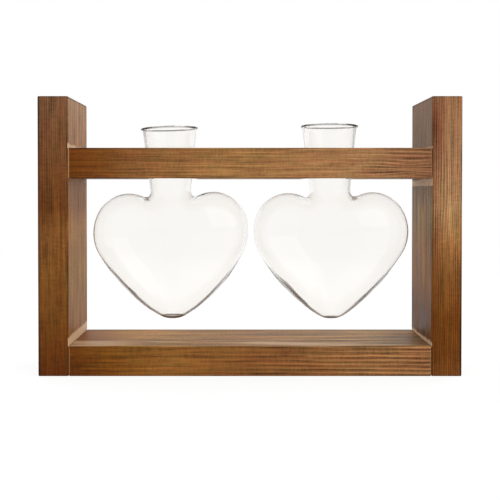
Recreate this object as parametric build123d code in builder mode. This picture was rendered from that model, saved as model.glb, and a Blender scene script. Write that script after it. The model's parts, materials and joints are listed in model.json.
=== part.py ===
from build123d import *
from math import cos, radians, sin, tan
import os

# A wooden stand that carries two blown glass heart vases by their necks.
# Millimetres. The origin is on the ground under the middle of the stand, and the front faces -Y.

# Boards of the stand
board_thickness = 20.0
frame_depth = 65.0
edge_ease = 0.8  # rounding of every edge

# Heart outline: tangent arcs from the tip up to the cleft, and the angle that each one turns
tip_radius = 12.0
flank_radius = 150.0
side_radius = 30.7
lobe_radius = 23.6
tip_angle = 34.0
flank_angle = 23.0
side_angle = 58.5
lobe_angle = 124.5
heart_thickness = 48.0
belly_drop = 9.2  # thickest point below the bottom of the cleft
heart_levels = 13  # outlines from the back of a heart to its front

# Neck and lip
waist_radius = 14.1
waist_rise = 1.8  # waist above the tops of the lobes
waist_length = 1.6
mouth_radius = 18.7  # under the lip
lip_reach = 1.6
lip_height = 3.2
lip_thickness = 1.6
lip_round = 0.7

# Shoulder under the waist: height as a share of belly to waist, then half the width and half the
# depth as shares of half the heart's
shoulder_shares = ((0.79, 0.325, 0.66), (0.55, 0.56, 0.815), (0.27, 0.8, 0.94), (0, 0.88, 0.98))

# Glass
wall = 1.9
tip_wall = 4.5  # the glass gathers in the tip

# Places in the stand
tip_gap = 13.2  # bottom rail to the tips
neck_gap = 9.6  # tops of the lobes to the vase rail
heart_gap = 4.2
post_gap = 10.6
rim_rise = 17.2  # rims above the vase rail
post_rise = 34.0  # posts above the vase rail
seat_clearance = 0.3  # between a neck and its notch

# Wood screws, two through each post into each rail
screw_length = 40.0
screw_radius = 2.0
screw_core_radius = 1.4  # below the post
screw_head_radius = 4.0
screw_point = 4.0
screw_spacing = 33.0
head_sink = 0.5  # head below the face of the post
countersink_angle = 90.0
recess_span = 4.6
recess_width = 1.0
recess_depth = 1.8
screw_clearance = 0.2
pilot_clearance = 0.1

cut_overrun = 1.0


def half_outline(inset):
    """The right half of the middle level, from the tip to the bottom of the cleft."""
    cleft_angle = tip_angle + flank_angle + side_angle + lobe_angle - 180
    with BuildLine() as half:
        tip = JernArc((0, inset), (1, 0), tip_radius - inset, tip_angle)
        flank = JernArc(tip @ 1, tip % 1, flank_radius - inset, flank_angle)
        side = JernArc(flank @ 1, flank % 1, side_radius - inset, side_angle)
        lobe = JernArc(side @ 1, side % 1, lobe_radius - inset, lobe_angle)
        JernArc(lobe @ 1, lobe % 1, (lobe @ 1).X / sin(radians(cleft_angle)), -cleft_angle)
    return half.line


def heart_outline(inset, angle):
    """A level of the heart, at an angle from the middle level towards the front."""
    depth = (heart_thickness / 2 - inset) * sin(radians(angle))
    with BuildSketch(Plane.XZ.offset(depth)) as outline:
        with BuildLine():
            add(half_outline(inset))
            mirror(about=Plane.YZ)
        make_face()
        scale(by=cos(radians(angle)), about=(0, belly_height))
    return outline.sketch


# Sizes that follow from the heart, with heights in a vase measured from its tip
belly_height = (half_outline(0) @ 1).Y - belly_drop
widest_outline = heart_outline(0, 0)
heart_width = widest_outline.bounding_box().size.X
lobe_top = widest_outline.bounding_box().max.Z
waist_height = lobe_top + waist_rise
rail_top_height = lobe_top + neck_gap + board_thickness
rim_height = rail_top_height + rim_rise
lip_base = rim_height - lip_height
lip_radius = mouth_radius + lip_reach

# A neck rests where its taper meets the lower edge of the rounding of its notch
seat_share = (rail_top_height - edge_ease - waist_height) / (lip_base - waist_height)
seat_radius = waist_radius + (mouth_radius - waist_radius) * seat_share
notch_radius = seat_radius + seat_clearance

# Levels and widths in the stand
tip_level = board_thickness + tip_gap
rail_top = tip_level + rail_top_height
frame_height = rail_top + post_rise
vase_pitch = heart_width + heart_gap
rail_length = vase_pitch + heart_width + 2 * post_gap
frame_width = rail_length + 2 * board_thickness
bottom_level = board_thickness / 2
vase_rail_level = rail_top - board_thickness / 2

# Screws and their bores
screw_head_height = (screw_head_radius - screw_radius) / tan(radians(countersink_angle / 2))
screw_end = head_sink + screw_length
pilot_radius = screw_core_radius + pilot_clearance
pilot_depth = screw_end - board_thickness + pilot_clearance


def heart_body(inset):
    """The heart as a skin over its levels, from a point at the back to a point at the front."""
    depth = heart_thickness / 2 - inset
    step = 180 / (heart_levels + 1)
    levels = [heart_outline(inset, step * level - 90) for level in range(1, heart_levels + 1)]
    with BuildPart() as body:
        loft([Vertex(0, depth, belly_height), *levels, Vertex(0, -depth, belly_height)])
    return body


def neck_body(inset):
    """The tapered neck and the shoulder that spreads from its waist into the heart."""
    with BuildPart() as body:
        with BuildSketch(Plane.XZ):
            Polygon(
                (0, waist_height),
                (waist_radius - inset, waist_height),
                (mouth_radius - inset, lip_base),
                (mouth_radius - inset, rim_height),
                (0, rim_height),
                align=None,
            )
        revolve(axis=Axis.Z)
        for height in (waist_height, waist_height - waist_length):
            with BuildSketch(Plane.XY.offset(height)):
                Circle(waist_radius - inset)
        for height_share, width_share, depth_share in shoulder_shares:
            height = belly_height + (waist_height - belly_height) * height_share
            with BuildSketch(Plane.XY.offset(height)):
                Ellipse(heart_width / 2 * width_share - inset, heart_thickness / 2 * depth_share - inset)
        loft()
    return body


with BuildPart() as vase_cavity:
    add(heart_body(wall))
    add(neck_body(wall))
    split(bisect_by=Plane.XY.offset(tip_wall))

with BuildPart() as heart_vase:
    add(heart_body(0))
    add(neck_body(0))
    with BuildSketch(Plane.XZ):
        with BuildLine():
            flare_top = (lip_radius, rim_height - lip_thickness)
            flare = TangentArc((mouth_radius, lip_base), flare_top, tangent=(0, 1))
            Polyline(flare @ 1, (lip_radius, rim_height), (0, rim_height), (0, lip_base), flare @ 0)
        make_face()
    revolve(axis=Axis.Z)
    add(vase_cavity, mode=Mode.SUBTRACT)
    rim_edges = heart_vase.edges().filter_by(GeomType.CIRCLE).group_by(Axis.Z)[-1]
    fillet(rim_edges, lip_round)


def screw_places(sides, face, levels):
    """Where screws go in: on faces square to X, at both lanes of each level, looking outwards."""
    return [
        Plane(origin=(side * face, lane * screw_spacing / 2, level), z_dir=(side, 0, 0))
        for side in sides
        for level in levels
        for lane in (-1, 1)
    ]


def post(side):
    with BuildPart() as board:
        with Locations((side * (frame_width - board_thickness) / 2, 0, frame_height / 2)):
            Box(board_thickness, frame_depth, frame_height)
        fillet(board.edges(), edge_ease)
        with Locations(*screw_places([side], frame_width / 2, [bottom_level, vase_rail_level])):
            CounterSinkHole(
                radius=screw_radius + screw_clearance,
                counter_sink_radius=screw_head_radius + head_sink + screw_clearance,
                depth=board_thickness + cut_overrun,
                counter_sink_angle=countersink_angle,
            )
    return board


left_post = post(-1)
right_post = post(1)

with BuildPart() as bottom_rail:
    with Locations((0, 0, bottom_level)):
        Box(rail_length, frame_depth, board_thickness)
    fillet(bottom_rail.edges(), edge_ease)
    with Locations(*screw_places([-1, 1], rail_length / 2, [bottom_level])):
        Hole(pilot_radius, pilot_depth)

with BuildPart() as vase_rail:
    with Locations((0, 0, vase_rail_level)):
        Box(rail_length, frame_depth, board_thickness)
    with BuildSketch(Plane.XY.offset(rail_top)):
        with GridLocations(vase_pitch, 0, 2, 1):
            Circle(notch_radius)
            Rectangle(2 * notch_radius, frame_depth / 2 + cut_overrun, align=(Align.CENTER, Align.MIN))
    extrude(amount=-board_thickness, mode=Mode.SUBTRACT)
    fillet(vase_rail.edges(), edge_ease)
    with Locations(*screw_places([-1, 1], rail_length / 2, [vase_rail_level])):
        Hole(pilot_radius, pilot_depth)

# One screw, drawn with the face of its post at height zero
with BuildPart() as wood_screw:
    with BuildSketch(Plane.XZ):
        Polygon(
            (0, -head_sink),
            (screw_head_radius, -head_sink),
            (screw_radius, -head_sink - screw_head_height),
            (screw_radius, -board_thickness),
            (screw_core_radius, -board_thickness),
            (screw_core_radius, screw_point - screw_end),
            (0, -screw_end),
            align=None,
        )
    revolve(axis=Axis.Z)
    with BuildSketch(Plane.XY.offset(-head_sink)):
        Rectangle(recess_span, recess_width)
        Rectangle(recess_width, recess_span)
    extrude(amount=-recess_depth, mode=Mode.SUBTRACT)

with BuildPart() as wood_screws:
    with Locations(*screw_places([-1, 1], frame_width / 2, [bottom_level, vase_rail_level])):
        add(wood_screw)


def hung_vase(side):
    with BuildPart() as vase:
        with Locations((side * vase_pitch / 2, 0, tip_level)):
            add(heart_vase)
    return vase


pieces = {
    "left_post": left_post,
    "right_post": right_post,
    "bottom_rail": bottom_rail,
    "vase_rail": vase_rail,
    "wood_screws": wood_screws,
    "left_vase": hung_vase(-1),
    "right_vase": hung_vase(1),
}
os.makedirs("parts", exist_ok=True)
for name, piece in pieces.items():
    piece.part.label = name
    export_step(piece.part, f"parts/{name}.step")

print(f"stand {frame_width:.1f} x {frame_depth:.1f} x {frame_height:.1f} mm")
print(f"heart {heart_width:.1f} x {heart_thickness:.1f} mm, rim {tip_level + rim_height:.1f} mm high")
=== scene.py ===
import json
from math import cos, pi, radians, sin

import bpy
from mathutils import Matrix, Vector

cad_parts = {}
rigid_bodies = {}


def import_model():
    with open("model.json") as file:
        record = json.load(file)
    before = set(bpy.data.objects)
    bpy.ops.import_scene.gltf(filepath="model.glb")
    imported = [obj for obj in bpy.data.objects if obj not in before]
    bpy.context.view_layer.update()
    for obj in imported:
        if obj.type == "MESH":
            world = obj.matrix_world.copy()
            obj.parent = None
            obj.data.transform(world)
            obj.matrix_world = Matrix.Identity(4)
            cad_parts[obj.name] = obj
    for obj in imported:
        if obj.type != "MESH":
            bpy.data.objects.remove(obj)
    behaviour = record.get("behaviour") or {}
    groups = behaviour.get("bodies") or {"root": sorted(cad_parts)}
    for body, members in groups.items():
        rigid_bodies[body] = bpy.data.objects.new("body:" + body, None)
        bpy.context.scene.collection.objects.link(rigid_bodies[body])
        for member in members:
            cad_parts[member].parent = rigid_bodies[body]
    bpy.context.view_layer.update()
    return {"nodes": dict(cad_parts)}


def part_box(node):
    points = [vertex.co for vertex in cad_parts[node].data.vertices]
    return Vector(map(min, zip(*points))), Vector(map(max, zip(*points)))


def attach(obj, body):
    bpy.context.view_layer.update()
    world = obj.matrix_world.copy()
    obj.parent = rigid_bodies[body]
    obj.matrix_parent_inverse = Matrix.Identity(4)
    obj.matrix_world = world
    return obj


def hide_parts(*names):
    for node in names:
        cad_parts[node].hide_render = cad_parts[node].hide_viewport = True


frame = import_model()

perMetre = 1000     # millimetres
print("frame loaded:", ", ".join(sorted(frame["nodes"])))


# Tools for the finishes

def paint(red, green, blue):
    # a colour as a picker shows it, 0 to 255, in the linear values that sockets take
    return tuple((c / 255 / 12.92) if c < 10 else ((c / 255 + 0.055) / 1.055) ** 2.4
                 for c in (red, green, blue)) + (1.0,)


def grey(level):
    return (level, level, level, 1.0)


def plug(slot, value):
    if isinstance(value, Socket):
        slot.id_data.links.new(value.output, slot)
    else:
        slot.default_value = value


class Socket:
    # wraps a node's output, so that shader maths reads as plain sums
    def __init__(self, output):
        self.output = output

    def maths(self, operation, first, second):
        node = self.output.id_data.nodes.new("ShaderNodeMath")
        node.operation = operation
        plug(node.inputs[0], first)
        plug(node.inputs[1], second)
        return Socket(node.outputs[0])

    def __add__(self, other):
        return self.maths("ADD", self, other)

    def __radd__(self, other):
        return self.maths("ADD", other, self)

    def __sub__(self, other):
        return self.maths("SUBTRACT", self, other)

    def __rsub__(self, other):
        return self.maths("SUBTRACT", other, self)

    def __mul__(self, other):
        return self.maths("MULTIPLY", self, other)

    def __rmul__(self, other):
        return self.maths("MULTIPLY", other, self)

    def __truediv__(self, other):
        return self.maths("DIVIDE", self, other)


def setStops(ramp, stops):
    while len(ramp.elements) < len(stops):
        ramp.elements.new(1.0)
    while len(ramp.elements) > len(stops):
        ramp.elements.remove(ramp.elements[-1])
    for element, (place, colour) in zip(ramp.elements, stops):
        element.position = place
        element.color = colour


class Finish:
    # the nodes of one material or world
    def __init__(self, owner):
        owner.use_nodes = True
        self.owner = owner
        self.tree = owner.node_tree
        self.tree.nodes.clear()

    def add(self, kind, settings=None, values=None, output=0):
        # settings go in first, then the values or links of the sockets
        node = self.tree.nodes.new("ShaderNode" + kind)
        for name, setting in (settings or {}).items():
            if name == "stops":
                setStops(node.color_ramp, setting)
            else:
                setattr(node, name, setting)
        for name, value in (values or {}).items():
            plug(node.inputs[name], value)
        return Socket(node.outputs[output]) if node.outputs else None

    def maths(self, operation, *values):
        return self.add("Math", {"operation": operation}, dict(enumerate(values)))

    def scaled(self, vector, factors):
        # a colour or a place, each of its parts by a factor of its own
        return self.add("VectorMath", {"operation": "MULTIPLY"}, {0: vector, 1: factors})

    def parts(self, vector):
        return [self.add("SeparateXYZ", values={0: vector}, output=name) for name in "XYZ"]

    def noise(self, place, stretch, detail=2.0, roughness=0.5):
        # stretch is how many cells of noise there are to a unit, along each axis
        return self.add("TexNoise", {}, {"Vector": self.scaled(place, stretch), "Scale": 1.0,
                                         "Detail": detail, "Roughness": roughness})

    def between(self, value, low, high, atLow=0.0, atHigh=1.0, kind="SMOOTHSTEP"):
        # runs from atLow to atHigh while the value runs from low to high
        return self.add("MapRange", {"interpolation_type": kind},
                        {"Value": value, "From Min": low, "From Max": high,
                         "To Min": atLow, "To Max": atHigh})

    def curve(self, value, stops, most=4.0):
        # runs through (place, level) stops, as the greys of a ramp
        shades = [(place, grey(level / most)) for place, level in stops]
        return self.add("ValToRGB", {"stops": shades}, {"Fac": value}) * most

    def mix(self, share, first, second):
        return self.add("Mix", {"data_type": "RGBA"}, {0: share, 6: first, 7: second}, 2)

    def ray(self, first, *others):
        # 1 for a ray of any of these kinds
        found = self.add("LightPath", output=first)
        for name in others:
            found = found + self.add("LightPath", output=name)
        return self.maths("MINIMUM", found, 1.0)

    def end(self, shader, kind="Material"):
        self.add("Output" + kind, values={"Surface": shader})


# Boards. Lengths in mm. Shares run along a board from its foot or its left end. The inner face
# of a rail is its top. A pair holds the two ends of a soft step, and four numbers its levels too

woodRules = {
    "pithBehind": 64.0,      # from the middle of a board to the heart of its tree
    "ringSpread": 1.2,       # how uneven the widths of the rings are
    "ringDouble": 0.35,      # narrows the pale side of each ring
    "ringPatches": (0.3, 0.6, 0.45, 1.1),
    "ringContrast": 0.17,
    "shadeRings": 2.4,       # how much more contrast where a front face is shaded
    "contrasts": {"streak": 1.40, "hair": 1.00, "blotch": 0.80, "fleck": 0.36, "ray": 0.48},
    "sheetContrast": 2.20,   # broad streaks on an inner face
    "pores": (0.66, 0.74),
    "poreDark": 0.20,
    "hueContrast": 0.50,
    "hueRange": (0.36, 0.64),
    "greener": (0.97, 1.06, 0.92),
    "redder": (1.08, 0.86, 0.84),
    "leftReach": 0.3,        # share of half a front face where its left level of painted light ends
    "shadeRange": (1.0, 0.5),
    "shadeTint": (1.06, 0.78, 0.74),
    "darkest": 0.1,
    "relief": {"streak": 0.5, "hair": 0.3, "fleck": 0.1},
    "ringRelief": 0.12,
    "poreRelief": 0.5,
    "reliefStrength": 0.25,
    "reliefDepth": 0.0003,   # in metres
    "roughness": 0.47,
    "streakRoughness": 0.3,
    "ringRoughness": 0.03,
    "edgeRoughness": 0.08,
    "gloss": 0.09,

    # edges, as widths from the edge inwards
    "edgeWidth": (0.15, 0.95),
    "edgeRagged": 2.2,
    "edgeDark": 0.42,
    "endWidth": (0.1, 0.5),
    "endDark": 0.30,
    "innerWidth": (0.6, 0.1),
    "backShadeWidth": (6, 1),     # painted shade along the back edge of an inner face, and at its ends
    "backShadeEnds": (0.9, 1.9),
    "paintedBackShade": 0.40,
    "cornerWidth": (1.9, 0.5),     # the outer front corner of a post
    "cornerDepth": (0.6, 2.5),
    "cornerShares": (0.35, 0.75),
    "cornerDark": 0.60,

    # painted bounce light along the joints, and pale streaks on the tops of the rails
    "paleBounceAndStreaks": (220, 186, 150),      # pale of painted bounce light, also the colour of the pale streaks on the rails' tops
    "pale": (214, 164, 116),       # and wood that the stain missed
    "bounceBandStrength": 0.92,
    "bounceBandSoft": (-0.9, 0.9),
    "bounceBandFoot": (-0.6, 0.2),
    "bounceBandRagged": {"streak": 3.0, "blotch": 4.0},
    "bounceBandPatches": (0.2, 0.6, 0.6, 1.0),
    "frontStreaks": ((0.14, 0.14, 0.010), 2.0),      # streaks along the front of a rail's top
    "frontStreakRange": (0.50, 0.64),
    "frontStreakReach": (6, 30),
    "endStreaks": ((0.30, 0.30, 0.008), 2.0),     # and broad ones at its left end
    "endStreakRange": (0.40, 0.54),
    "endStreakShares": (0.06, 0.24),
    "endStreakReach": (14, 24),
    "paleStreaks": 0.66,
    "endHighlightWidth": (0.3, 1.1),
}

# Cells to a mm through the board, across it and along the grain, then detail and roughness
woodPatterns = {
    "wobble": ((0.03, 0.03, 0.011), 3.0),
    "spacing": ((0.08, 0.08, 0.002), 2.0),
    "patch": ((0.12, 0.12, 0.02), 2.0),
    "streak": ((1.0, 1.0, 0.026), 2.0, 0.55),
    "hair": ((1.9, 1.9, 0.06), 2.0, 0.6),
    "fleck": ((0.55, 0.55, 0.9), 2.0, 0.6),
    "ray": ((0.22, 0.22, 0.75), 1.0),
    "pore": ((2.6, 2.6, 0.16), 1.0),
    "blotch": ((0.10, 0.10, 0.04), 4.0, 0.6),
    "warm": ((0.30, 0.30, 0.05), 3.0, 0.6),
    "sheet": ((0.16, 0.16, 0.012), 3.0, 0.6),
}

# Tones are (share, colour) stops, rings and levels (share, level) stops, and a post's front face
# has a left and a right level of painted light and shade. pith: its side, and how far off the
# middle. knot: its place along and through the board, its length and width, and how far it bends
# the rings. corner: how dark it is at the foot and at the top. Bands of painted bounce light on an
# inner face: the level where each starts, and how wide it is at the front and at the back. Painted
# highlights on the rounded ends of a rail: how strong at its left and at its right end
boards = {
    "left_post": {
        "upright": True,
        "pith": (-1, 9.0),
        "ringWidth": 1.30,
        "ringWobble": 1.6,
        "knot": (40.0, 3.0, 14.0, 4.0, 0.8),
        "tones": ((0.0, (96, 46, 8)), (0.10, (108, 60, 12)), (0.36, (124, 80, 32)),
                  (0.50, (128, 82, 38)), (0.60, (108, 62, 24)), (0.76, (114, 71, 37)),
                  (1.0, (121, 82, 55))),
        "rings": ((0.0, 0.3), (0.5, 0.4), (0.62, 0.9), (1.0, 1.0)),
        "leftPaintedLight": ((0.0, 0.94),),
        "rightPaintedLight": ((0.0, 1.04),),
        "innerPaintedLight": ((0.0, 1.46), (0.3, 1.52), (0.45, 1.50), (0.56, 2.06), (0.68, 2.20),
                       (0.9, 1.72)),
        "innerSheenTint": (1.0, 1.21, 1.24),
        "corner": (1.0, 1.0),
        "bounceBands": ((20.0, 5.6, 6.6), (150.9, 2.6, 1.6)),
        "shift": 3.0,
    },
    "right_post": {
        "upright": True,
        "pith": (1, -7.0),
        "ringWidth": 1.40,
        "ringWobble": 2.0,
        "knot": (30.0, -2.0, 18.0, 5.0, 1.2),
        "tones": ((0.0, (118, 70, 28)), (0.08, (105, 60, 12)), (0.2, (108, 60, 12)),
                  (0.34, (125, 78, 33)), (0.46, (146, 100, 55)), (0.60, (166, 128, 87)),
                  (0.74, (154, 114, 80)), (1.0, (144, 102, 70))),
        "rings": ((0.0, 2.4), (0.12, 1.7), (0.3, 1.7), (0.5, 1.8), (0.72, 1.7), (0.85, 1.1),
                  (1.0, 1.0)),
        "leftPaintedLight": ((0.06, 0.90), (0.24, 0.78), (0.45, 0.74), (0.66, 0.80), (0.77, 0.60),
                      (0.88, 0.36), (1.0, 0.76)),
        "rightPaintedLight": ((0.06, 1.16), (0.24, 1.13), (0.45, 1.10), (0.66, 1.14), (0.77, 1.16),
                       (0.88, 1.17), (1.0, 1.18)),
        "innerPaintedLight": ((0.1, 1.0), (0.23, 0.84), (0.34, 1.24), (0.45, 1.06), (0.56, 0.85),
                       (0.66, 0.67), (0.88, 0.50), (1.0, 0.62)),
        "innerSheenTint": (0.98, 1.08, 1.06),
        "corner": (1.0, 0.1),
        "bounceBands": ((20.0, 2.6, 1.8), (150.9, 0.9, 0.7), (126.0, 5.0, 4.0)),
        "shift": 41.0,
    },
    "bottom_rail": {
        "upright": False,
        "pith": (1, 12.0),
        "ringWidth": 2.35,
        "ringWobble": 1.2,
        "knot": (-92.0, -2.0, 9.0, 4.0, 1.6),
        "tones": ((0.0, (106, 55, 8)), (0.12, (130, 80, 24)), (0.26, (149, 99, 45)),
                  (0.5, (137, 89, 46)), (0.68, (143, 97, 56)), (0.85, (156, 111, 69)),
                  (1.0, (148, 102, 64))),
        "rings": ((0.0, 0.55), (0.4, 0.45), (0.58, 1.5), (0.75, 2.2), (1.0, 2.5)),
        "leftPaintedLight": ((0.0, 1.0),),
        "rightPaintedLight": ((0.0, 1.0),),
        "innerPaintedLight": ((0.0, 1.44), (0.14, 1.58), (0.26, 1.20), (0.45, 1.10), (0.8, 1.10),
                       (0.95, 0.88)),
        "innerSheenTint": (1.0, 1.19, 1.22),
        "endHighlights": (0.5, 0.3),
        "paleStreaking": 1.0,
        "shift": 17.0,
    },
    "vase_rail": {
        "upright": False,
        "pith": (-1, -10.0),
        "ringWidth": 2.0,
        "ringWobble": 2.2,
        "knot": (104.0, 4.0, 13.0, 4.5, 3.2),
        "tones": ((0.0, (102, 53, 8)), (0.10, (118, 70, 25)), (0.2, (144, 97, 54)),
                  (0.45, (162, 118, 70)), (0.65, (161, 116, 74)), (0.80, (169, 124, 83)),
                  (0.9, (151, 107, 73)), (1.0, (140, 96, 66))),
        "rings": ((0.0, 0.6), (0.4, 0.45), (0.78, 0.5), (0.88, 1.9), (1.0, 2.1)),
        "leftPaintedLight": ((0.0, 1.0),),
        "rightPaintedLight": ((0.0, 1.0),),
        "innerPaintedLight": ((0.0, 1.0),),
        "innerSheenTint": (1.0, 1.17, 1.18),
        "endHighlights": (0.8, 0.3),
        "paleStreaking": 0.2,
        "shift": 29.0,
    },
}


def growthRings(finish, board, pattern, through, across, along):
    # rings about the pith, bent by a slow wobble and by one knot
    wobble = pattern["wobble"] - 0.5
    knotAlong, knotThrough, knotLength, knotWidth, knotBend = board["knot"]
    knotAway = (along - knotAlong) / knotLength
    knotAside = (through - knotThrough) / knotWidth
    knot = finish.maths("EXPONENT", 0 - knotAway * knotAway - knotAside * knotAside)
    side, offset = board["pith"]
    inward = through - side * woodRules["pithBehind"] + wobble * 2 * board["ringWobble"]
    sideways = across - offset + wobble * board["ringWobble"]
    radius = finish.maths("SQRT", inward * inward + sideways * sideways)
    radius = radius + knot * knotBend * knotAside
    turns = radius / board["ringWidth"] + pattern["spacing"] * woodRules["ringSpread"]
    turns = turns * 2 * pi
    rings = finish.maths("SINE", turns)
    rings = rings + finish.maths("SINE", turns * 2 - pi / 2) * woodRules["ringDouble"]
    return rings * finish.between(pattern["patch"], *woodRules["ringPatches"])


def woodFinish(node, board):
    low, high = (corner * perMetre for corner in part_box(node))
    middle = (low + high) / 2
    half = (high - low) / 2
    finish = Finish(bpy.data.materials.new("stained_" + node))

    # grain coordinates: through the board, across it, along the grain
    if board["upright"]:
        turn, start = 0.0, (-middle.x, -middle.y, -middle.z)
        reach = (half.x, half.y, half.z)
    else:
        turn, start = -pi / 2, (middle.z, -middle.y, -middle.x)
        reach = (half.z, half.y, half.x)
    grain = finish.add("Mapping", {"vector_type": "POINT"}, {
        "Vector": finish.add("TexCoord", output="Object"), "Location": start,
        "Rotation": (0, turn, 0), "Scale": (perMetre,) * 3})
    through, across, along = finish.parts(grain)
    share = (along + reach[2]) / (2 * reach[2])
    moved = finish.add("VectorMath", {"operation": "ADD"}, {0: grain, 1: (board["shift"],) * 3})
    pattern = {name: finish.noise(moved, *rule) for name, rule in woodPatterns.items()}
    pore = finish.between(pattern["pore"], *woodRules["pores"])
    rings = growthRings(finish, board, pattern, through, across, along)
    rings = rings * finish.curve(share, board["rings"])

    # faces and edges
    outward = -1 if board["upright"] and middle.x < 0 else 1
    innerStart, innerEnd = (reach[0] - width for width in woodRules["innerWidth"])
    inside = finish.between(through * -outward, innerStart, innerEnd)
    gap = [limit - finish.maths("ABSOLUTE", value)
           for limit, value in zip(reach, (through, across, along))]
    edges = [finish.maths("MAXIMUM", gap[a], gap[b]) for a, b in ((0, 1), (1, 2), (0, 2))]
    nearEdge = finish.maths("MINIMUM", edges[0], finish.maths("MINIMUM", edges[1], edges[2]))
    nearEdge = nearEdge + (pattern["streak"] - 0.5) * woodRules["edgeRagged"]
    edge = 1 - finish.between(nearEdge, *woodRules["edgeWidth"])
    endGrain = 1 - finish.between(gap[2], *woodRules["endWidth"])
    # painted shade along the back of an inner face and at its ends
    backStart, backEnd = (reach[1] - width for width in woodRules["backShadeWidth"])
    back = finish.maths("MAXIMUM", finish.between(across, backStart, backEnd),
                        1 - finish.between(gap[2], *woodRules["backShadeEnds"]))

    # how light the wood is: its grain, with painted light and shade on its faces
    # painted light and shade: a front face lighter on one side than on the other
    sides = [finish.curve(share, board[name]) for name in ("leftPaintedLight", "rightPaintedLight")]
    level = finish.between(through, -reach[0], reach[0] * woodRules["leftReach"], *sides)
    rings = rings * (1 + finish.maths("MAXIMUM", 1 - level, 0.0) * woodRules["shadeRings"])
    light = 1 + rings * woodRules["ringContrast"] - pore * woodRules["poreDark"] \
        + inside * (pattern["sheet"] - 0.5) * woodRules["sheetContrast"]
    for name, contrast in woodRules["contrasts"].items():
        light = light + (pattern[name] - 0.5) * contrast
    # painted light and sheen: inner faces lighter than the fronts
    light = light * (level + inside * (finish.curve(share, board["innerPaintedLight"]) - level))
    light = light * (1 - edge * woodRules["edgeDark"]) * (1 - endGrain * woodRules["endDark"]) \
        * (1 - back * inside * woodRules["paintedBackShade"])
    if board["upright"]:
        cornerStart, cornerEnd = (reach[0] - width for width in woodRules["cornerWidth"])
        corner = finish.between(through * outward, cornerStart, cornerEnd) \
            * (1 - finish.between(gap[1], *woodRules["cornerDepth"])) \
            * finish.between(share, *woodRules["cornerShares"], *board["corner"], "LINEAR")
        light = light * (1 - corner * woodRules["cornerDark"])

    # its colour, with painted bounce light along the joints and pale streaks on the rails' tops
    stops = [(at, paint(*colour)) for at, colour in board["tones"]]
    tone = finish.add("ValToRGB", {"stops": stops}, {"Fac": share})
    turned = finish.mix(finish.between(pattern["warm"], *woodRules["hueRange"]),
                        finish.scaled(tone, woodRules["greener"]),
                        finish.scaled(tone, woodRules["redder"]))
    tone = finish.mix(woodRules["hueContrast"], tone, turned)
    tone = finish.mix(finish.between(level, *woodRules["shadeRange"]) * (1 - inside),
                      tone, finish.scaled(tone, woodRules["shadeTint"]))
    tone = finish.add("VectorMath", {"operation": "SCALE"},
                      {0: tone, "Scale": finish.maths("MAXIMUM", light, woodRules["darkest"])})
    # painted sheen: inner faces paler and greyer
    tone = finish.mix(inside, tone, finish.scaled(tone, board["innerSheenTint"]))
    paleBounceAndStreaks = paint(*woodRules["paleBounceAndStreaks"])
    # painted bounce light: a pale band on an inner face above each given level
    for joint, front, rear in board.get("bounceBands", ()):
        rise = along + middle.z - joint
        ragged = rise - finish.between(across, -reach[1], reach[1], front, rear, "LINEAR")
        for name, width in woodRules["bounceBandRagged"].items():
            ragged = ragged + (pattern[name] - 0.5) * width
        patch = (1 - finish.between(ragged, *woodRules["bounceBandSoft"])) \
            * finish.between(rise, *woodRules["bounceBandFoot"]) * inside \
            * finish.between(pattern["streak"], *woodRules["bounceBandPatches"])
        tone = finish.mix(patch * woodRules["bounceBandStrength"], tone, paleBounceAndStreaks)
    if not board["upright"]:
        behind = across + reach[1]
        frontStreaks = finish.between(finish.noise(moved, *woodRules["frontStreaks"]), *woodRules["frontStreakRange"]) \
            * (1 - finish.between(behind, *woodRules["frontStreakReach"]))
        endStreaks = finish.between(finish.noise(moved, *woodRules["endStreaks"]), *woodRules["endStreakRange"]) \
            * (1 - finish.between(share, *woodRules["endStreakShares"])) \
            * (1 - finish.between(behind, *woodRules["endStreakReach"]))
        paleStreaks = finish.maths("MAXIMUM", frontStreaks, endStreaks) * board["paleStreaking"] * inside
        tone = finish.mix(paleStreaks * woodRules["paleStreaks"], tone, paleBounceAndStreaks)
        # painted highlight on the rounded ends of a rail
        endHighlight = (1 - finish.between(gap[2], *woodRules["endHighlightWidth"])) \
            * finish.between(share, 0.0, 1.0, *board["endHighlights"], "LINEAR")
        tone = finish.mix(endHighlight, tone, paint(*woodRules["pale"]))

    height = 0 - rings * woodRules["ringRelief"] - pore * woodRules["poreRelief"]
    for name, rise in woodRules["relief"].items():
        height = height + pattern[name] * rise
    relief = finish.add("Bump", values={"Strength": woodRules["reliefStrength"],
                                        "Distance": woodRules["reliefDepth"], "Height": height})
    roughness = woodRules["roughness"] + (pattern["streak"] - 0.5) * woodRules["streakRoughness"] \
        + rings * woodRules["ringRoughness"] + edge * woodRules["edgeRoughness"]
    finish.end(finish.add("BsdfPrincipled", values={
        "Base Color": tone, "Roughness": roughness, "Specular IOR Level": woodRules["gloss"],
        "Normal": relief}))
    return finish.owner


for node, board in boards.items():
    piece = frame["nodes"][node]
    piece.data.materials.clear()
    piece.data.materials.append(woodFinish(node, board))
print("boards finished")


# Screws

screwRules = {
    "zinc": (186, 182, 172),
    "dull": (128, 120, 106),
    "grain": 2600,           # cells to a metre
    "stains": 420,
    "stainRange": (0.4, 0.66),
    "stained": 0.7,
    "stainMetal": 0.2,       # less metallic
    "roughness": 0.34,
    "stainRoughness": 0.2,
    "grainRoughness": 0.1,
    "reliefStrength": 0.25,
    "reliefDepth": 0.00005,
}


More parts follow.
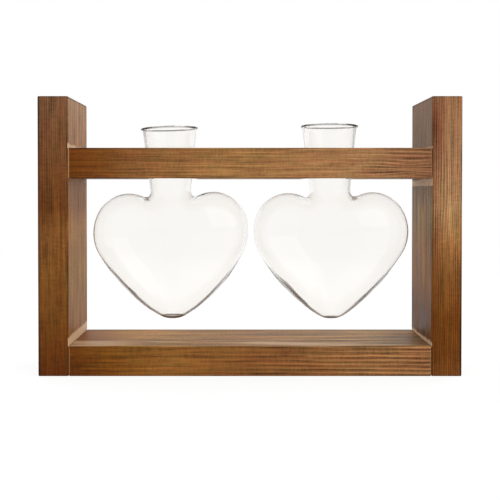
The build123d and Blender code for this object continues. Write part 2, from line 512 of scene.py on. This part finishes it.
def screwFinish():
    finish = Finish(bpy.data.materials.new("zinc_screws"))
    place = finish.add("TexCoord", output="Object")
    grain = finish.noise(place, (screwRules["grain"],) * 3, 3.0)
    stain = finish.noise(place, (screwRules["stains"],) * 3, 3.0)
    stain = finish.between(stain, *screwRules["stainRange"])
    colour = finish.mix(stain * screwRules["stained"],
                        paint(*screwRules["zinc"]), paint(*screwRules["dull"]))
    relief = finish.add("Bump", values={"Strength": screwRules["reliefStrength"],
                                        "Distance": screwRules["reliefDepth"], "Height": grain})
    roughness = screwRules["roughness"] + stain * screwRules["stainRoughness"] \
        + (grain - 0.5) * screwRules["grainRoughness"]
    finish.end(finish.add("BsdfPrincipled", values={
        "Base Color": colour, "Metallic": 1.0 - stain * screwRules["stainMetal"],
        "Roughness": roughness, "Normal": relief}))
    return finish.owner


screws = frame["nodes"]["wood_screws"]
screws.data.materials.clear()
screws.data.materials.append(screwFinish())
print("screws finished")


# Blown vases. Lengths in metres, turns in degrees, but stops are (mm above the tip, level): lines
# say how bold the painted shade on an edge is, and fuller how much wider the glass was blown than
# its mould's outline. A flank is its lowest and highest level above the tip, and its wall

vases = {
    "left_vase": {
        "tilt": 1.1,             # how it hangs, right side up
        "rimSlope": 0.8,
        "rimDrop": 0.0017,
        "pool": 0.0022,          # glass that ran down into the tip
        "leftFlank": (-0.006, 0.050, 0.0011),
        "rightFlank": (0.000, 0.044, 0.0010),
        "leftLine": ((0, 0.60), (8, 0.80), (19, 0.97), (33, 0.70), (46, 0.0)),
        "rightLine": ((0, 0.70), (8, 0.86), (18, 0.90), (30, 0.76), (42, 0.30), (54, 0.0)),
        "leftFuller": ((0, 0.30), (7, 0.235), (11, 0.185), (19, 0.107), (28, 0.067),
                       (44, 0.033), (61, 0.016), (84, 0)),
        "rightFuller": ((0, 0.30), (7, 0.235), (11, 0.175), (19, 0.114), (28, 0.080),
                        (36, 0.042), (44, 0.016), (54, 0)),
    },
    "right_vase": {
        "tilt": 0.6,
        "rimSlope": -0.6,
        "rimDrop": 0.0,
        "pool": 0.0010,
        "leftFlank": (-0.008, 0.042, 0.0016),
        "rightFlank": (0.000, 0.040, 0.0009),
        "leftLine": ((0, 0.55), (7, 0.84), (13, 1.0), (24, 1.0), (34, 0.5), (44, 0.0)),
        "rightLine": ((0, 0.5), (6, 0.76), (16, 0.92), (26, 0.72), (44, 0.1), (60, 0.0)),
        "leftFuller": ((0, 0.32), (7, 0.186), (11, 0.118), (19, 0.067), (28, 0.048),
                       (36, 0.026), (44, 0.012), (54, 0)),
        "rightFuller": ((0, 0.32), (7, 0.160), (11, 0.110), (19, 0.062), (28, 0.043),
                        (36, 0.025), (61, 0.015), (84, 0)),
    },
}

blowRules = {    # a rise is above the tip, and away is from the vase's axis
    "voxel": 0.0010,
    "smoothing": 0.5,
    "passes": 9,
    "shoulderPasses": 100,
    "weld": 0.00001,
    "shoulderDepth": (0.007, 0.014),
    "shoulderRise": (0.048, 0.060, 0.086, 0.094),
    "wall": 0.0003,
    "neckWall": 0.0007,
    "neckRise": (0.070, 0.090),
    "neckAway": (0.018, 0.026),
    "flankAway": (0.003, 0.014),
    "thickest": 0.0045,
    "poolSlope": 0.35,       # keeps the pool's side walls from growing too thick
    "lipHeight": 0.0034,
    "lipStart": 0.0016,      # below the cut
    "lipSteps": ((0.0013, 1.008), (0.0010, 1.008), (0.0007, 1.021), (0.0005, 1.031),
                 (0.0004, 1.020), (0.0004, 1.002), (0.0004, 0.983), (0.0003, 0.965)),  # rise, flare
    "lipBevel": 0.0003,
    "lipAngle": 60,
    "lipSegments": 3,
}


def pick(piece, wanted):
    # selects the vertices that pass a test, in edit mode
    bpy.ops.object.mode_set(mode="EDIT")
    bpy.ops.mesh.select_mode(type="VERT")
    bpy.ops.mesh.select_all(action="DESELECT")
    bpy.ops.object.mode_set(mode="OBJECT")
    for vertex in piece.data.vertices:
        vertex.select = wanted(vertex.co)
    bpy.ops.object.mode_set(mode="EDIT")


def only(piece):
    bpy.ops.object.select_all(action="DESELECT")
    piece.select_set(True)
    bpy.context.view_layer.objects.active = piece


def apply(piece, kind, **settings):
    modifier = piece.modifiers.new(kind.lower(), kind)
    for name, value in settings.items():
        setattr(modifier, name, value)
    bpy.ops.object.modifier_apply(modifier=modifier.name)


def smoothStep(value, low, high):
    share = min(1.0, max(0.0, (value - low) / (high - low)))
    return share * share * (3 - 2 * share)


def levelAt(stops, place):
    # the level at a place between stops
    for (first, low), (last, high) in zip(stops, stops[1:]):
        if place < last:
            return low + (high - low) * max(0.0, place - first) / (last - first)
    return stops[-1][1]


def outerSkin(piece, axis, lipBase):
    # keeps the outer skin alone, closed across the mouth
    bpy.ops.object.mode_set(mode="EDIT")
    bpy.ops.mesh.select_all(action="SELECT")
    bpy.ops.mesh.remove_doubles(threshold=blowRules["weld"])
    bpy.ops.mesh.bisect(plane_co=(axis, 0, lipBase), plane_no=(0, 0, 1), clear_outer=True)
    bpy.ops.object.mode_set(mode="OBJECT")
    lowest = min(vertex.co.z for vertex in piece.data.vertices)
    pick(piece, lambda at: at.z < lowest + blowRules["weld"])
    bpy.ops.mesh.select_linked()
    bpy.ops.mesh.select_all(action="INVERT")
    bpy.ops.mesh.delete(type="VERT")
    bpy.ops.mesh.select_all(action="DESELECT")
    bpy.ops.mesh.select_non_manifold()
    bpy.ops.mesh.edge_face_add()
    bpy.ops.mesh.select_all(action="SELECT")
    bpy.ops.mesh.normals_make_consistent(inside=False)
    bpy.ops.object.mode_set(mode="OBJECT")


def wallAt(vertex, vase, axis, tip):
    # thick where the glass ran down before it set
    rise = vertex.co.z - tip
    away = abs(vertex.co.x - axis)
    first, last, wall = vase["leftFlank"] if vertex.co.x < axis else vase["rightFlank"]
    middle, reach = (first + last) / 2, (last - first) / 2
    flank = (1 - smoothStep(abs(rise - middle), 0, reach)) \
        * smoothStep(away, *blowRules["flankAway"])
    neck = smoothStep(rise, *blowRules["neckRise"]) \
        * (1 - smoothStep(away, *blowRules["neckAway"]))
    pool = (vase["pool"] - rise) / max(blowRules["poolSlope"], -vertex.normal.z)
    thick = max(blowRules["wall"] + (wall - blowRules["wall"]) * flank,
                min(pool, blowRules["thickest"]))
    return thick + (blowRules["neckWall"] - blowRules["wall"]) * neck


def blownVase(node, vase):
    low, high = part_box(node)
    axis = (low.x + high.x) / 2
    tip = low.z
    lipBase = high.z - blowRules["lipHeight"]
    cut = lipBase - vase["rimDrop"]     # the lip starts here
    piece = bpy.data.objects.new(node + "_glass", frame["nodes"][node].data.copy())
    bpy.context.scene.collection.objects.link(piece)
    piece.data.materials.clear()
    only(piece)
    outerSkin(piece, axis, lipBase)

    # blown smooth, most of all where the lobes run into the shoulder
    apply(piece, "REMESH", mode="VOXEL", voxel_size=blowRules["voxel"])
    for vertex in piece.data.vertices:
        away = vertex.co.x - axis
        fuller = levelAt(vase["leftFuller" if away < 0 else "rightFuller"],
                         (vertex.co.z - tip) * perMetre)
        vertex.co.x = axis + away * (1 + fuller)
    apply(piece, "SMOOTH", factor=blowRules["smoothing"], iterations=blowRules["passes"])
    shoulder = piece.vertex_groups.new(name="shoulder")
    foot, full, fade, top = blowRules["shoulderRise"]
    for vertex in piece.data.vertices:
        rise = vertex.co.z - tip
        share = smoothStep(abs(vertex.co.y), *blowRules["shoulderDepth"]) \
            * smoothStep(rise, foot, full) * (1 - smoothStep(rise, fade, top))
        shoulder.add([vertex.index], share, "REPLACE")
    apply(piece, "SMOOTH", factor=blowRules["smoothing"],
          iterations=blowRules["shoulderPasses"], vertex_group="shoulder")

    # cut open where the lip starts
    slope = radians(vase["rimSlope"])
    upwards = (-sin(slope), 0, cos(slope))
    bpy.ops.object.mode_set(mode="EDIT")
    bpy.ops.mesh.select_all(action="SELECT")
    bpy.ops.mesh.bisect(plane_co=(axis, 0, cut - blowRules["lipStart"]), plane_no=upwards,
                        clear_outer=True)
    bpy.ops.object.mode_set(mode="OBJECT")
    print(node, "skin", len(piece.data.polygons), "faces")

    # the lip flares in a few short steps
    bpy.ops.object.mode_set(mode="EDIT")
    bpy.ops.mesh.select_all(action="DESELECT")
    bpy.ops.mesh.select_non_manifold()
    for rise, flare in blowRules["lipSteps"]:
        bpy.ops.mesh.extrude_edges_move(
            TRANSFORM_OT_translate={"value": tuple(part * rise for part in upwards)})
        bpy.ops.transform.resize(value=(flare, flare, 1), center_override=(axis, 0, cut))
    bpy.ops.object.mode_set(mode="OBJECT")

    # the wall and the rounded rim
    thickest = blowRules["thickest"]
    walls = piece.vertex_groups.new(name="wall")
    for vertex in piece.data.vertices:
        thick = wallAt(vertex, vase, axis, tip)
        walls.add([vertex.index], min(1.0, thick / thickest), "REPLACE")
    apply(piece, "SOLIDIFY", thickness=thickest, offset=-1, vertex_group="wall",
          thickness_vertex_group=0.0, use_even_offset=False, use_rim=True)
    apply(piece, "BEVEL", limit_method="ANGLE", angle_limit=radians(blowRules["lipAngle"]),
          width=blowRules["lipBevel"], segments=blowRules["lipSegments"])

    # the way it hangs in its notch
    bpy.ops.object.mode_set(mode="EDIT")
    bpy.ops.mesh.select_all(action="SELECT")
    bpy.ops.transform.rotate(value=radians(vase["tilt"]), orient_axis="Y",
                             center_override=(axis, 0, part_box("vase_rail")[1].z))
    bpy.ops.object.mode_set(mode="OBJECT")
    bpy.ops.object.shade_smooth()
    print(node, "blown:", len(piece.data.polygons), "faces")
    return piece


glassRules = {    # lengths in mm
    "clear": (253, 252, 250),
    "shade": (92, 86, 82),   # painted edge shade, for the dark that the glass reflects and refracts there
    # painted shade for the thick glass in the tip
    "pool": (88, 72, 64),
    "shadow": (250, 250, 248),     # what its shadow keeps
    "ior": 1.47,
    "mirror": 0.3,
    "outlineStart": 0.80,    # how far a surface turns away before its edge darkens
    "flankStart": 0.42,      # how much sooner on a flank
    "neckStart": 0.18,       # and on the outer side of a neck
    "bandRise": 0.08,
    "bandFade": 0.5,
    "lineReach": 100,        # highest place that lines can have
    "innerLine": 0.05,       # strength towards the other vase
    "outerLine": 0.22,       # more towards the post
    "neckLine": 0.50,
    "flankLine": 0.94,
    "poolLine": 0.95,
    "lipLine": 0.75,
    "sides": (-3.0, 3.0),    # where the left side turns into the right one
    "neckRise": (78.0, 88.0),
    "neckAway": (18.0, 24.0),
    "poolEdge": (-0.2, 0.4),
    "lipEdge": (-1.5, -1.0),
    "lipDepth": (-4.0, 4.0, 0.35, 1.0),  # painted shade on the lip, darker on its far side
    "waves": (38, 38, 22),   # cells to a metre
    "waveStrength": 0.10,
    "waveDepth": 0.002,
    "dull": (0.55, 0.8, 0.0, 0.02),
}


def glassFinish(node, vase):
    low, high = (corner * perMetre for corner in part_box(node))
    axis = (low.x + high.x) / 2
    finish = Finish(bpy.data.materials.new("blown_" + node))
    place = finish.add("TexCoord", output="Object")
    aside, depth, rise = (part * perMetre for part in finish.parts(place))
    aside, rise = aside - axis, rise - low.z
    facing = finish.add("LayerWeight", values={"Blend": 0.5}, output="Facing")

    # edges: thin lines of painted shade, darker towards the post and widest on the flanks
    lineReach = glassRules["lineReach"]
    lines = [finish.curve(rise / lineReach, [(at / lineReach, level) for at, level in vase[side]],
                          1.0) for side in ("leftLine", "rightLine")]
    right = finish.between(aside, *glassRules["sides"])
    flank = lines[0] * (1 - right) + lines[1] * right
    outer = right if axis > 0 else 1 - right
    away = finish.maths("ABSOLUTE", aside)
    neck = finish.between(rise, *glassRules["neckRise"]) \
        * (1 - finish.between(away, *glassRules["neckAway"])) * outer
    start = glassRules["outlineStart"] - flank * glassRules["flankStart"] \
        - neck * glassRules["neckStart"]
    band = finish.between(facing, start, start + glassRules["bandRise"]) \
        * (1 - finish.between(facing, start, 1.0) * glassRules["bandFade"])
    strength = glassRules["innerLine"] + outer * (1 - flank) * glassRules["outerLine"] \
        + flank * glassRules["flankLine"] + neck * glassRules["neckLine"]
    shade = paint(*glassRules["shade"])
    colour = finish.mix(band * strength, paint(*glassRules["clear"]), shade)

    # painted shade where the glass pooled in the tip, and on the lip
    poolStart, poolEnd = (vase["pool"] * perMetre + step for step in glassRules["poolEdge"])
    pool = (1 - finish.between(rise, poolStart, poolEnd)) * glassRules["poolLine"]
    colour = finish.mix(pool, colour, paint(*glassRules["pool"]))
    # painted shade along the top of the lip, darker on its far side
    lean = sin(radians(vase["tilt"] + vase["rimSlope"]))
    top = high.z - low.z - vase["rimDrop"] * perMetre + aside * lean
    lip = finish.between(rise - top, *glassRules["lipEdge"]) \
        * finish.between(depth, *glassRules["lipDepth"])
    colour = finish.mix(lip * glassRules["lipLine"], colour, shade)

    wave = finish.noise(place, glassRules["waves"])
    relief = finish.add("Bump", values={"Strength": glassRules["waveStrength"],
                                        "Distance": glassRules["waveDepth"], "Height": wave})
    glass = finish.add("BsdfPrincipled", values={
        "Base Color": colour, "Roughness": finish.between(wave, *glassRules["dull"]),
        "IOR": glassRules["ior"], "Specular Tint": grey(glassRules["mirror"]),
        "Transmission Weight": 1.0, "Normal": relief})
    through = finish.add("BsdfTransparent", values={"Color": paint(*glassRules["shadow"])})
    shadow = finish.add("LightPath", output="Is Shadow Ray")
    finish.end(finish.add("MixShader", values={0: shadow, 1: glass, 2: through}))
    return finish.owner


for node, vase in vases.items():
    piece = blownVase(node, vase)
    piece.data.materials.append(glassFinish(node, vase))
    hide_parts(node)
    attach(piece, node)


# Floor, light and camera

stageRules = {
    "floorSize": 6.0,
    "floorCuts": 8,
    "floorShade": 0.16,      # how much of the floor's white is lit, and so takes shadow
    "floorWhite": 1.02,
    "floorFade": (0.25, 1.1),      # past this distance the floor is plain white
    "floorBounce": 0.70,
    "frontLight": 0.55,      # soft light from in front of the stand and from behind it
    "backLight": 1.60,
    "mirrorRange": (-0.75, 0.0),
    "frontMirror": 0.03,     # what gloss and glass show of the room behind the camera
    "lampSize": 1.4,
    "lampAim": (0, 0, 0.08),
}

bpy.ops.object.select_all(action="DESELECT")
bpy.ops.mesh.primitive_plane_add(size=stageRules["floorSize"], location=(0, 0, 0))
floor = bpy.context.object
floor.name = "floor"
bpy.ops.object.mode_set(mode="EDIT")
bpy.ops.mesh.subdivide(number_cuts=stageRules["floorCuts"])
bpy.ops.object.mode_set(mode="OBJECT")
finish = Finish(bpy.data.materials.new("white_floor"))
distance = finish.add("VectorMath", {"operation": "LENGTH"},
                      {0: finish.add("TexCoord", output="Object")}, "Value")
far = finish.between(distance, *stageRules["floorFade"])
seen = finish.ray("Is Camera Ray", "Is Glossy Ray", "Is Transmission Ray")
lit = finish.add("BsdfDiffuse", values={"Color": grey(stageRules["floorShade"])})
glow = finish.add("Emission", values={
    "Color": grey(1.0), "Strength": stageRules["floorWhite"] - stageRules["floorShade"]})
plain = finish.add("Emission", values={"Color": grey(1.0), "Strength": 1.0})
near = finish.add("AddShader", values={0: lit, 1: glow})
shown = finish.add("MixShader", values={0: far, 1: near, 2: plain})
bounce = finish.add("BsdfDiffuse", values={"Color": grey(stageRules["floorBounce"])})
finish.end(finish.add("MixShader", values={0: seen, 1: bounce, 2: shown}))
floor.data.materials.append(finish.owner)

world = bpy.data.worlds.new("studio")
bpy.context.scene.world = world
finish = Finish(world)
aim = finish.parts(finish.add("TexCoord", output="Generated"))[1]
camera = finish.add("LightPath", output="Is Camera Ray")
mirrored = finish.ray("Is Glossy Ray", "Is Transmission Ray")
backdrop = finish.between(aim, *stageRules["mirrorRange"], stageRules["frontMirror"], 1.0)
soft = finish.between(aim, -1.0, 1.0, stageRules["frontLight"], stageRules["backLight"])
strength = camera + (1 - camera) * (mirrored * backdrop + (1 - mirrored) * soft)
finish.end(finish.add("Background", values={"Color": grey(1.0), "Strength": strength}), "World")

lamps = {
    "key": {"place": (1.15, -1.0, 0.85), "power": 9.0, "colour": (1.0, 0.98, 0.95)},
    "fill": {"place": (-1.1, -1.2, 0.5), "power": 2.5, "colour": (0.96, 0.98, 1.0)},
}

for name, lamp in lamps.items():
    bpy.ops.object.light_add(type="AREA", location=lamp["place"])
    light = bpy.context.object
    light.name = name
    light.data.size = stageRules["lampSize"]
    light.data.energy = lamp["power"]
    light.data.color = lamp["colour"]
    beam = Vector(stageRules["lampAim"]) - Vector(lamp["place"])
    light.rotation_euler = beam.to_track_quat("-Z", "Y").to_euler()

cameraRules = {
    "place": (-0.00334, -0.5728, 0.12365),
    "pitch": 0.83,           # degrees down
    "sensor": 36,
    "lens": 59.08,
    "shift": (0.0102, -0.098),
}
bpy.ops.object.camera_add(location=cameraRules["place"],
                          rotation=(radians(90 - cameraRules["pitch"]), 0, 0))
view = bpy.context.object
view.data.sensor_width = cameraRules["sensor"]
view.data.lens = cameraRules["lens"]
view.data.shift_x, view.data.shift_y = cameraRules["shift"]
bpy.context.scene.camera = view
bpy.context.scene.view_settings.view_transform = "Standard"
print("stage set")

bpy.context.view_layer.update()
